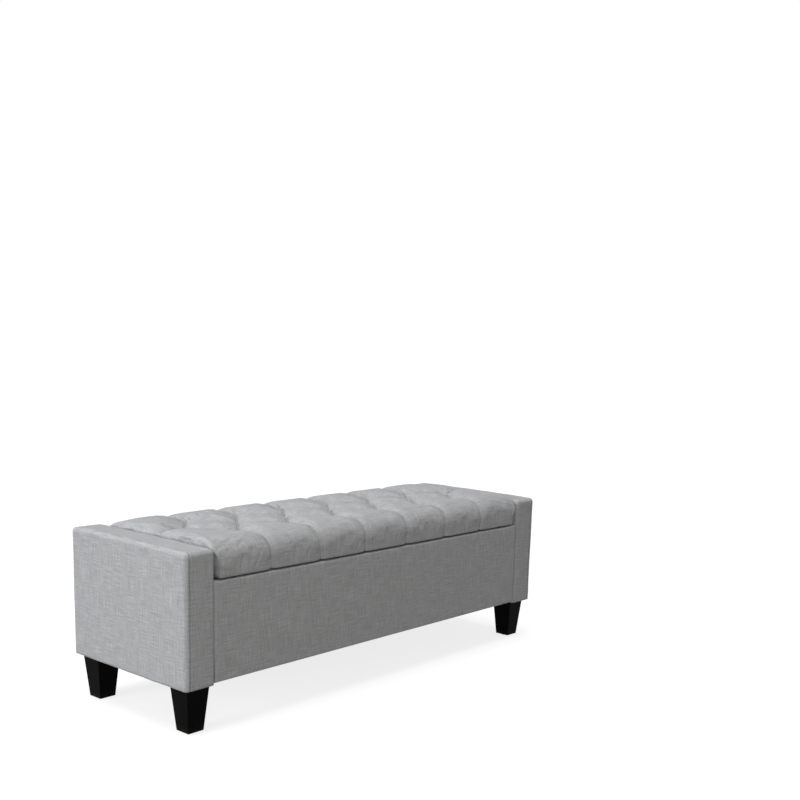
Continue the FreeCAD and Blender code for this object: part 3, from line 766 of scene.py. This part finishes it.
def linen():
    """Light grey linen-look plain weave: uneven yarns both ways, slubs, and a little sheen."""
    s = Shader("linen", roughness=0.92, specular=0.18)
    s.bsdf.inputs["Sheen Weight"].default_value = 0.12
    s.bsdf.inputs["Sheen Roughness"].default_value = 0.45
    cloth = s.place("cloth")
    period = 1.15 * MM
    warp = s.wave(cloth, period, "X", 0.6)
    weft = s.wave(cloth, period * 1.1, "Y", 0.6)
    weave = s.math("MAXIMUM", s.math("MULTIPLY", warp, 0.9), weft)
    yarn_across = s.noise(s.scaled(cloth, (18, 620, 1)), 1.0, 2.0, 0.6)
    yarn_along = s.noise(s.scaled(cloth, (620, 22, 1)), 1.0, 2.0, 0.6)
    slub_across = s.noise(s.scaled(cloth, (26, 210, 1)), 1.0, 1.0, 0.5)
    slub_along = s.noise(s.scaled(cloth, (230, 20, 1)), 1.0, 1.0, 0.5)
    mottle = s.noise(cloth, 38.0, 3.0, 0.6)
    flecks = s.noise(s.scaled(cloth, (420, 520, 1)), 1.0, 2.0, 0.7)
    streaks = s.math("ADD", yarn_across, yarn_along)
    heather = s.ramp(
        s.math("MULTIPLY", streaks, 0.5),
        [(0.34, (0.315, 0.315, 0.319)), (0.50, (0.415, 0.416, 0.420)), (0.66, (0.530, 0.531, 0.534))],
    )
    thick_across, thick_along = (s.grey(slub, -0.5, 0.5, 0.32, 0.68) for slub in (slub_across, slub_along))
    slubs = s.math("ADD", thick_across, thick_along)
    shade = s.math("ADD", s.math("MULTIPLY", slubs, 0.08), s.grey(mottle, 0.97, 1.03))
    shade = s.math("MULTIPLY", shade, s.grey(flecks, 0.84, 1.16, 0.35, 0.65))
    toned = s.node("ShaderNodeVectorMath", operation="SCALE")
    s.link(heather, toned.inputs[0])
    s.link(shade, toned.inputs["Scale"])
    s.colour(s.mix(s.grey(weave, 0.0, 0.22, 0.6, 0.1), toned.outputs[0], (0.20, 0.20, 0.205)))
    height = s.math("ADD", s.math("MULTIPLY", weave, 0.5), s.math("MULTIPLY", streaks, 0.6))
    s.bump(s.math("ADD", height, s.math("MULTIPLY", slubs, 0.3)), 0.55 * MM, 0.8)
    s.rough(s.grey(mottle, 0.88, 0.97))
    return s.material


def thread():
    """Grey sewing thread: twisted plies."""
    s = Shader("thread", roughness=0.6, specular=0.3)
    cloth = s.place("object")
    twist = s.wave(s.scaled(cloth, (1, 1, 1), (0.6, 0.6, 0.3)), 0.7 * MM, "X", 0.5)
    s.colour(s.ramp(twist, [(0.1, (0.14, 0.14, 0.145)), (0.9, (0.34, 0.34, 0.35))]))
    s.bump(twist, 0.15 * MM)
    return s.material


def espresso_wood():
    """Near-black stained wood under satin lacquer, with its grain up the leg and wear at the foot."""
    s = Shader("espresso_wood", roughness=0.38, specular=0.016)
    place = s.place("object")
    grain = s.noise(s.scaled(place, (260, 260, 9)), 1.0, 4.0, 0.65)
    pores = s.noise(s.scaled(place, (1400, 1400, 60)), 1.0, 2.0, 0.5)
    tone = s.ramp(
        grain,
        [(0.3, (0.0008, 0.0007, 0.0006)), (0.55, (0.0018, 0.0014, 0.0012)), (0.8, (0.006, 0.0044, 0.0034))],
    )
    height = s.node("ShaderNodeSeparateXYZ")
    s.link(place, height.inputs[0])
    near_floor = s.grey(height.outputs["Z"], 0.6, 0.0, 0.0, 0.018)
    scuff = s.math("MULTIPLY", near_floor, s.grey(pores, 0.0, 1.0, 0.52, 0.62))
    s.colour(s.mix(scuff, tone, (0.05, 0.037, 0.027)))
    s.rough(s.grey(grain, 0.28, 0.44))
    s.bump(s.math("ADD", s.math("MULTIPLY", grain, 0.6), s.math("MULTIPLY", pores, 0.4)), 0.12 * MM, 0.6)
    return s.material


def nonwoven():
    """Black spun-bonded lining with its pressed dots and loose fibres."""
    s = Shader("black_nonwoven", roughness=0.85, specular=0.25)
    s.bsdf.inputs["Sheen Weight"].default_value = 0.1
    place = s.place("object")
    dots = s.node("ShaderNodeTexVoronoi", feature="F1")
    dots.inputs["Scale"].default_value = 420
    dots.inputs["Randomness"].default_value = 0.15
    s.link(place, dots.inputs["Vector"])
    fibre = s.noise(s.scaled(place, (900, 900, 900)), 1.0, 3.0, 0.7)
    cloud = s.noise(place, 26.0, 3.0, 0.6)
    dot = s.grey(dots.outputs["Distance"], 0.0, 1.0, 0.1, 0.4)
    tone = s.math("ADD", s.math("MULTIPLY", fibre, 0.6), s.math("MULTIPLY", cloud, 0.4))
    fibres = s.ramp(tone, [(0.3, (0.011, 0.011, 0.012)), (0.7, (0.034, 0.034, 0.037))])
    s.colour(s.mix(s.math("MULTIPLY", dot, 0.7), (0.008, 0.008, 0.009), fibres))
    s.bump(s.math("ADD", dot, s.math("MULTIPLY", fibre, 0.5)), 0.25 * MM, 0.7)
    return s.material


def raw_wood(name, light, dark, stretch, direction):
    """Bare board: long grain with darker lines."""
    s = Shader(name, roughness=0.72, specular=0.3)
    place = s.place("object")
    scale = [300, 300, 300]
    scale[direction] = stretch
    grain = s.noise(s.scaled(place, scale), 1.0, 4.0, 0.6)
    rings = s.noise(s.scaled(place, [v * 0.12 for v in scale]), 1.0, 2.0, 0.5)
    s.colour(s.mix(s.grey(rings, 0.0, 0.6), s.ramp(grain, [(0.3, dark), (0.7, light)]), dark))
    s.rough(s.grey(grain, 0.62, 0.82))
    s.bump(grain, 0.2 * MM, 0.6)
    return s.material


def steel(name, light, dark, rough_low, rough_high):
    """Plated steel: cloudy plating, fine rolling lines and a few scratches."""
    s = Shader(name, roughness=0.35, metallic=1.0)
    place = s.place("object")
    cloud = s.noise(place, 60.0, 3.0, 0.6)
    lines = s.noise(s.scaled(place, (1500, 40, 1500)), 1.0, 2.0, 0.5)
    tone = s.math("ADD", s.math("MULTIPLY", cloud, 0.6), s.math("MULTIPLY", lines, 0.4))
    s.colour(s.ramp(tone, [(0.3, dark), (0.7, light)]))
    wear = s.math("ADD", s.math("MULTIPLY", cloud, 0.5), s.math("MULTIPLY", lines, 0.5))
    s.rough(s.grey(wear, rough_low, rough_high))
    s.bump(lines, 0.03 * MM, 0.5)
    return s.material


def pressed(name, light, dark, grain, rough, depth):
    """Felt, foam, rubber and twine: a mottled surface with a grain of its own size."""
    s = Shader(name, roughness=rough, specular=0.25)
    place = s.place("object")
    fine = s.noise(place, 1 / grain, 3.0, 0.7)
    broad = s.noise(place, 0.12 / grain, 2.0, 0.5)
    tone = s.math("ADD", s.math("MULTIPLY", fine, 0.7), s.math("MULTIPLY", broad, 0.3))
    s.colour(s.ramp(tone, [(0.3, dark), (0.7, light)]))
    s.rough(s.grey(fine, rough - 0.06, min(1.0, rough + 0.06)))
    s.bump(fine, depth, 0.8)
    return s.material


def paper_floor():
    """Seamless pale studio paper."""
    s = Shader("studio_paper", roughness=0.9, specular=0.1)
    place = s.place("object")
    tooth = s.noise(place, 700.0, 2.0, 0.5)
    s.colour(s.ramp(tooth, [(0.3, (0.26, 0.26, 0.26)), (0.7, (0.30, 0.30, 0.30))]))
    s.bsdf.inputs["Emission Color"].default_value = (1, 1, 1, 1)
    s.bsdf.inputs["Emission Strength"].default_value = 0.8
    s.bump(tooth, 0.05 * MM, 0.2)
    return s.material


MATERIALS = {
    "linen_fabric": linen(),
    "espresso_wood": espresso_wood(),
    "black_lining": nonwoven(),
    "softwood": raw_wood("softwood", (0.62, 0.43, 0.24), (0.42, 0.26, 0.13), 12, 1),
    "plywood": raw_wood("plywood", (0.58, 0.42, 0.26), (0.40, 0.27, 0.15), 14, 0),
    "zinc_steel": steel("zinc_steel", (0.72, 0.73, 0.76), (0.50, 0.51, 0.54), 0.26, 0.46),
    "black_steel": steel("black_steel", (0.09, 0.09, 0.10), (0.035, 0.035, 0.04), 0.38, 0.55),
    "upholstery_foam": pressed(
        "upholstery_foam", (0.86, 0.82, 0.66), (0.66, 0.60, 0.42), 0.8 * MM, 0.92, 0.4 * MM
    ),
    "felt": pressed("felt", (0.09, 0.085, 0.08), (0.035, 0.032, 0.03), 0.5 * MM, 0.92, 0.3 * MM),
    "rubber_pad": pressed(
        "rubber_pad", (0.035, 0.035, 0.036), (0.016, 0.016, 0.017), 0.9 * MM, 0.62, 0.05 * MM
    ),
    "waxed_twine": pressed("waxed_twine", (0.72, 0.67, 0.55), (0.45, 0.40, 0.30), 0.6 * MM, 0.6, 0.2 * MM),
}
THREAD = thread()


def finish_cad_nodes():
    """Every CAD node that stays gets its slot's detailed material."""
    slots = {p["node"]: p["material_slot"] for p in frame["record"]["subparts"]}
    for name, obj in nodes.items():
        material = MATERIALS[slots[name]]
        for k in range(max(1, len(obj.material_slots))):
            if k < len(obj.material_slots):
                obj.material_slots[k].material = material
            else:
                obj.data.materials.append(material)


def cover(obj, body, replaced):
    """Puts a soft piece on its body in place of its CAD solids."""
    obj.data.materials.append(MATERIALS["linen_fabric"])
    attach(obj, body)
    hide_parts(*replaced)


def upholster():
    """Makes every soft piece and puts it on its body."""
    cover(make_lid(), "lid", ["lid_cover", "lid_foam"])
    cover(make_buttons(), "lid", ["lid_buttons"])
    for side, low, high in (("left", LEFT_LOW, LEFT_HIGH), ("right", RIGHT_LOW, RIGHT_HIGH)):
        pad, stitches = make_end(side, low, high)
        cover(pad, "box", [f"{side}_end_cover", f"{side}_end_foam"])
        stitches.data.materials.append(THREAD)
        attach(stitches, "box")
    front = make_panel("front_pad", FRONT_LOW, FRONT_HIGH, outward=-1)
    cover(front, "box", ["front_cover", "front_foam"])
    back = make_panel("back_wrap", BACK_LOW, BACK_HIGH, outward=1)
    cover(back, "box", ["back_cover"])


# ================================================================ studio
CAMERA_AZIMUTH, CAMERA_ELEVATION, CAMERA_ROLL = -49.09, 11.06, 1.68
CAMERA_DISTANCE = 3.227
CAMERA_TARGET = Vector((0.294, -0.0025, 0.274))
CAMERA_LENS, SENSOR, CAMERA_SHIFT_Y = 50.12, 36.0, 0.1875
FLOOR_REACH = 30


def make_camera():
    azimuth, elevation = math.radians(CAMERA_AZIMUTH), math.radians(CAMERA_ELEVATION)
    level = math.cos(elevation)
    back = Vector((math.sin(azimuth) * level, -math.cos(azimuth) * level, math.sin(elevation)))
    right = (-back).cross(Vector((0, 0, 1))).normalized()
    up = right.cross(-back)
    roll = math.radians(CAMERA_ROLL)
    right, up = right * math.cos(roll) + up * math.sin(roll), up * math.cos(roll) - right * math.sin(roll)
    data = bpy.data.cameras.new("camera")
    data.sensor_width = SENSOR
    data.lens = CAMERA_LENS
    data.shift_y = CAMERA_SHIFT_Y
    camera = bpy.data.objects.new("camera", data)
    bpy.context.scene.collection.objects.link(camera)
    turn = Matrix((right, up, back)).transposed().to_4x4()
    camera.matrix_world = Matrix.Translation(CAMERA_TARGET + back * CAMERA_DISTANCE) @ turn
    bpy.context.scene.camera = camera


def area_light(name, place, target, size, power, colour):
    data = bpy.data.lights.new(name, "AREA")
    data.shape = "RECTANGLE"
    data.size, data.size_y = size
    data.energy = power
    data.color = colour
    light = bpy.data.objects.new(name, data)
    bpy.context.scene.collection.objects.link(light)
    light.location = place
    light.rotation_euler = (Vector(target) - Vector(place)).to_track_quat("-Z", "Y").to_euler()


def sun_light(name, toward, strength, spread):
    """Even light from far away, coming from the direction `toward`."""
    data = bpy.data.lights.new(name, "SUN")
    data.energy = strength
    data.angle = math.radians(spread)
    data.color = (0.965, 0.975, 1.0)
    light = bpy.data.objects.new(name, data)
    bpy.context.scene.collection.objects.link(light)
    light.rotation_euler = Vector(toward).to_track_quat("Z", "Y").to_euler()


def make_studio():
    far = FLOOR_REACH
    corners = [(-far, -far, 0), (far, -far, 0), (far, far, 0), (-far, far, 0)]
    floor = mesh_object("floor", corners, [(0, 1, 2, 3)], smooth=False)
    floor.data.materials.append(paper_floor())
    floor.visible_diffuse = False
    world = bpy.data.worlds.new("studio")
    bpy.context.scene.world = world
    world.use_nodes = True
    tree = world.node_tree
    backdrop = tree.nodes["Background"]
    backdrop.inputs["Color"].default_value = (1, 1, 1, 1)
    fill = tree.nodes.new("ShaderNodeBackground")
    fill.inputs["Color"].default_value = (1.0, 0.995, 0.98, 1)
    fill.inputs["Strength"].default_value = 0.26
    mix = tree.nodes.new("ShaderNodeMixShader")
    path = tree.nodes.new("ShaderNodeLightPath")
    tree.links.new(path.outputs["Is Camera Ray"], mix.inputs["Fac"])
    tree.links.new(fill.outputs[0], mix.inputs[1])
    tree.links.new(backdrop.outputs[0], mix.inputs[2])
    tree.links.new(mix.outputs[0], tree.nodes["World Output"].inputs["Surface"])
    sun_light("overhead", (-0.12, 0.02, 1.0), 2.1, 38)
    area_light("left", (-7.0, 1.2, 2.0), (0, 0.1, 0.25), (3.0, 2.4), 284, (0.93, 0.955, 1.0))
    area_light("front_left", (-2.6, -2.5, 1.3), (-0.3, 0, 0.3), (1.6, 1.2), 25, (1.0, 0.99, 0.965))
    scene = bpy.context.scene
    scene.view_settings.view_transform = "Standard"
    scene.view_settings.look = "None"


finish_cad_nodes()
upholster()
make_studio()
make_camera()

bpy.context.view_layer.update()
